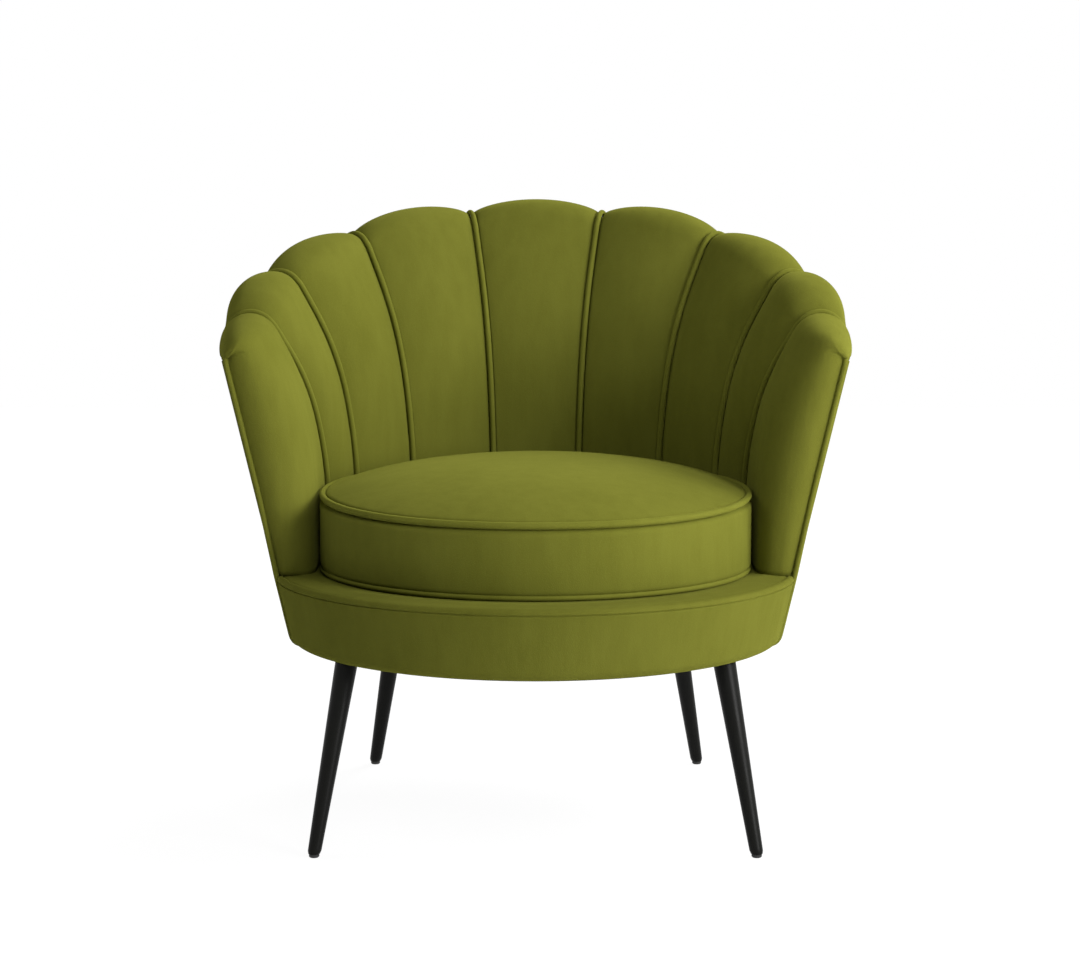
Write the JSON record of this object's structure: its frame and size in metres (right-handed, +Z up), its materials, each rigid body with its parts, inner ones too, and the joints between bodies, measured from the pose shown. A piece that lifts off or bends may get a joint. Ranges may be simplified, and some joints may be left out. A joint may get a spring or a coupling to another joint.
{
  "type": "scallop-back tub chair",
  "caption": "Fluted scallop-back tub chair: an upholstered drum on splayed tapered legs, a piped channel back that wraps into low arms, and a loose round boxed cushion that lifts out.",
  "frame": {"origin": "on the floor, under the middle of the bounding box", "axes": "+Z up, the chair faces -Y, +X is to the right of someone who stands in front of it"},
  "size_m": [0.7962, 0.7541, 0.7699],
  "materials": {
    "velvet": "short-pile olive velvet",
    "piping": "olive velvet piping",
    "plywood": "raw birch plywood",
    "timber": "planed softwood",
    "webbing": "woven elastic",
    "lacquer": "satin black lacquer",
    "zinc": "zinc plated",
    "glide": "moulded",
    "dust_cloth": "non-woven cloth",
    "zip_tape": "woven tape with nylon teeth"
  },
  "bodies": {
    "chair": {"apron_board": "plywood", "apron_cover": "velvet", "arm_post_left": "timber", "arm_post_right": "timber", "back_rib_1": "timber", "back_rib_2": "timber", "back_rib_3": "timber", "back_rib_4": "timber", "back_skin": "plywood", "base_post_1": "timber", "base_post_2": "timber", "base_post_3": "timber", "base_post_4": "timber", "base_ring": "plywood", "deck_pad": "velvet", "dust_cover": "dust_cloth", "edge_welt": "piping", "flute_1": "velvet", "flute_2": "velvet", "flute_3": "velvet", "flute_4": "velvet", "flute_5": "velvet", "flute_6": "velvet", "flute_7": "velvet", "flute_8": "velvet", "flute_9": "velvet", "flute_welt_1": "piping", "flute_welt_2": "piping", "flute_welt_3": "piping", "flute_welt_4": "piping", "flute_welt_5": "piping", "flute_welt_6": "piping", "flute_welt_7": "piping", "flute_welt_8": "piping", "foot_glide_front_left": "glide", "foot_glide_front_right": "glide", "foot_glide_rear_left": "glide", "foot_glide_rear_right": "glide", "leg_bolt_front_left": "zinc", "leg_bolt_front_right": "zinc", "leg_bolt_rear_left": "zinc", "leg_bolt_rear_right": "zinc", "leg_front_left": "lacquer", "leg_front_right": "lacquer", "leg_rear_left": "lacquer", "leg_rear_right": "lacquer", "outside_back": "velvet", "seat_ring": "plywood", "top_rail": "timber", "webbing_strap_1": "webbing", "webbing_strap_2": "webbing", "webbing_strap_3": "webbing", "webbing_strap_4": "webbing"},
    "cushion": {"seat_cushion": "velvet", "cushion_welt_top": "piping", "cushion_welt_bottom": "piping", "cushion_zip": "zip_tape"}
  },
  "joints": [
    {"name": "cushion_lift", "type": "slide", "parent": "chair", "child": "cushion", "axis": [0, 0, 1], "range_m": [0, 0.3]}
  ]
}
